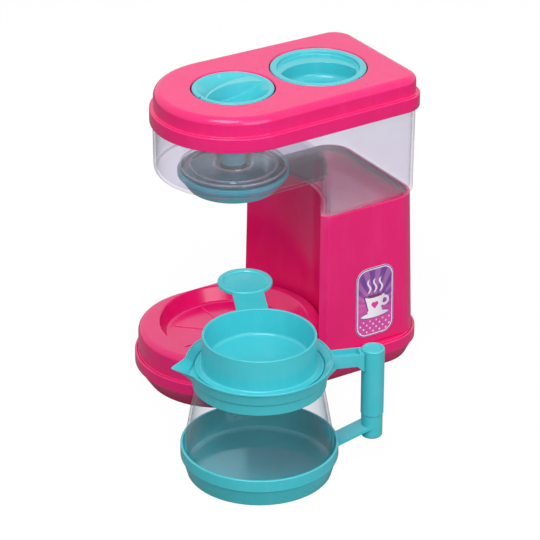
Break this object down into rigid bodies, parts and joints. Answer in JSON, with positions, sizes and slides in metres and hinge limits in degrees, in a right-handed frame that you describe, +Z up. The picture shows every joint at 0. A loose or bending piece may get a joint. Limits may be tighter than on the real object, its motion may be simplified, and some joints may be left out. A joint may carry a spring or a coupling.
{
  "type": "toy coffee maker",
  "caption": "Pretend-play coffee maker with a clear tank on a C-shaped body, a turning valve knob, a fill cap, a brew basket, a drip tray, a carafe and a filter cup",
  "frame": {"origin": "On the ground, on the brewing axis: the common axis of the front knob, the brew basket and the drip tray", "axes": "+Z up, the machine's round nose points to -Y and its rear wall to +Y, the carafe stands on the +X side"},
  "size_m": [0.241, 0.2476, 0.22],
  "materials": {
    "pink_plastic": "smooth satin-gloss moulded pink plastic",
    "teal_plastic": "smooth satin-gloss moulded teal plastic",
    "clear_plastic": "clear moulded plastic with a faint lavender tint",
    "seal_rubber": "matte black rubber",
    "screw_steel": "plain zinc-plated steel",
    "label_print": "printed adhesive label"
  },
  "bodies": {
    "machine": {"base_pan": "pink_plastic", "base_cover": "pink_plastic", "base_screw_1": "screw_steel", "base_screw_2": "screw_steel", "base_screw_3": "screw_steel", "base_screw_4": "screw_steel", "column_shell": "pink_plastic", "column_screw_1": "screw_steel", "column_screw_2": "screw_steel", "side_label": "label_print", "tank": "clear_plastic", "brew_basket": "teal_plastic", "lid": "pink_plastic"},
    "valve": {"front_knob": "teal_plastic", "valve_stem": "teal_plastic", "stem_seal": "seal_rubber", "valve_disc": "seal_rubber"},
    "cap": {"fill_cap": "teal_plastic"},
    "carafe": {"carafe_base": "teal_plastic", "carafe_glass": "clear_plastic", "carafe_collar": "teal_plastic"},
    "filter": {"filter_cup": "teal_plastic"}
  },
  "joints": [
    {"name": "knob_turn", "type": "hinge", "parent": "machine", "child": "valve", "pos_m": [0, 0, 0.22], "axis": [0, 0, 1], "range_deg": [0, 90]},
    {"name": "cap_lift", "type": "slide", "parent": "machine", "child": "cap", "axis": [0, 0, 1], "range_m": [0, 0.04]},
    {"name": "carafe_lift", "type": "slide", "parent": "machine", "child": "carafe", "axis": [0, 0, 1], "range_m": [0, 0.025]},
    {"name": "filter_lift", "type": "slide", "parent": "carafe", "child": "filter", "axis": [0, 0, 1], "range_m": [0, 0.025]}
  ]
}
